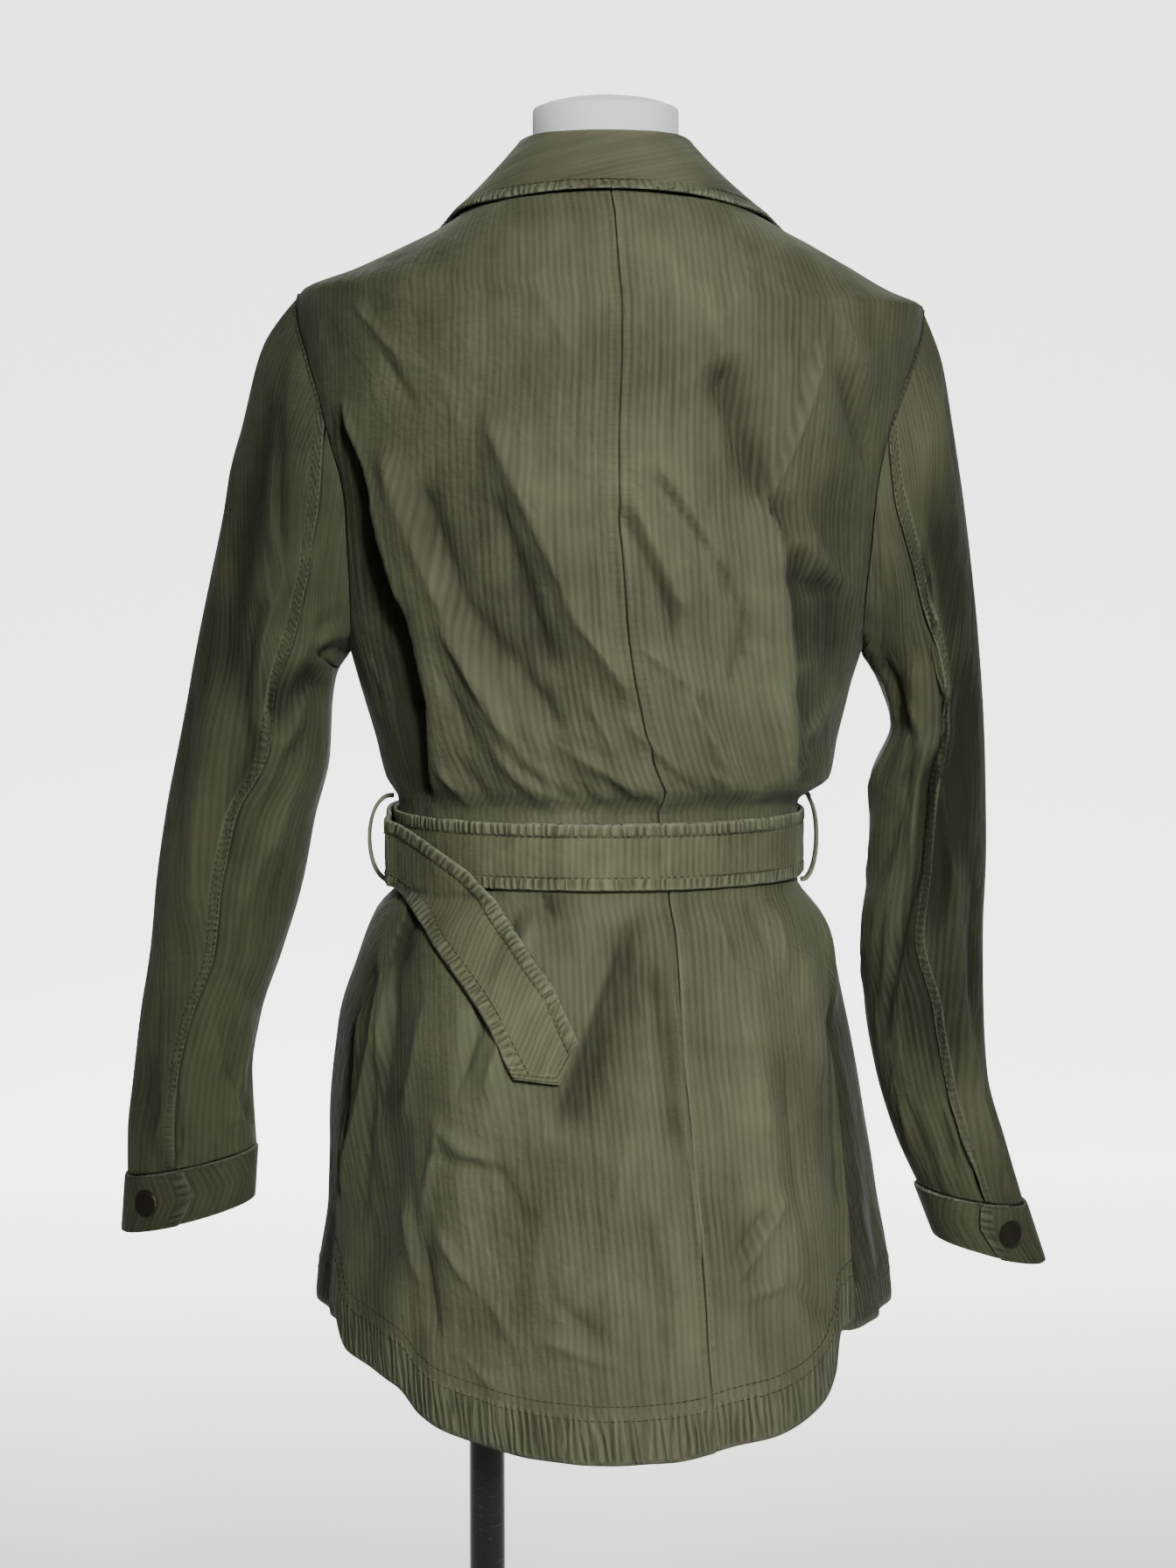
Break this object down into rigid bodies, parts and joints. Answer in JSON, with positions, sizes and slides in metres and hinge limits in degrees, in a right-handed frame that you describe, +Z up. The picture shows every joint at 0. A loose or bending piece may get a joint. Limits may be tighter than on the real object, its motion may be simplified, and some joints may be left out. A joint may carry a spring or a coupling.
{
  "type": "belted jacket on dress form",
  "caption": "Belted olive cotton field jacket with a shirt-tail back, on a limbless dress form with a pole and a round base.",
  "frame": {"origin": "middle of the whole part's footprint, on the floor under the base", "axes": "+Z up, +X to the wearer's right (to the right in the back view), +Y to the wearer's front"},
  "size_m": [0.5596, 0.38, 1.395],
  "materials": {
    "cloth": "matte herringbone cotton twill, olive green",
    "belt_cloth": "the same twill, doubled and topstitched",
    "snap": "dark gunmetal, satin",
    "buckle": "dark gunmetal, satin",
    "form_cover": "off-white jersey over a hard form",
    "stand": "gloss black, lightly scuffed"
  },
  "bodies": {
    "root": {"back_left": "cloth", "back_right": "cloth", "front_left": "cloth", "front_right": "cloth", "collar": "cloth", "sleeve_left_top": "cloth", "sleeve_left_under": "cloth", "sleeve_right_top": "cloth", "sleeve_right_under": "cloth", "cuff_left": "cloth", "cuff_right": "cloth", "pocket_left": "cloth", "pocket_right": "cloth", "pocket_flap_left": "cloth", "pocket_flap_right": "cloth", "belt_loop_left": "cloth", "belt_loop_right": "cloth", "belt_band": "belt_cloth", "belt_tail": "belt_cloth", "buckle": "buckle", "cuff_snap_left": "snap", "cuff_snap_right": "snap", "front_snap_1": "snap", "front_snap_2": "snap", "front_snap_3": "snap", "front_snap_4": "snap", "front_snap_5": "snap", "front_snap_6": "snap", "form_torso": "form_cover", "form_neck": "form_cover", "hub": "stand", "pole": "stand", "base": "stand"}
  },
  "joints": []
}
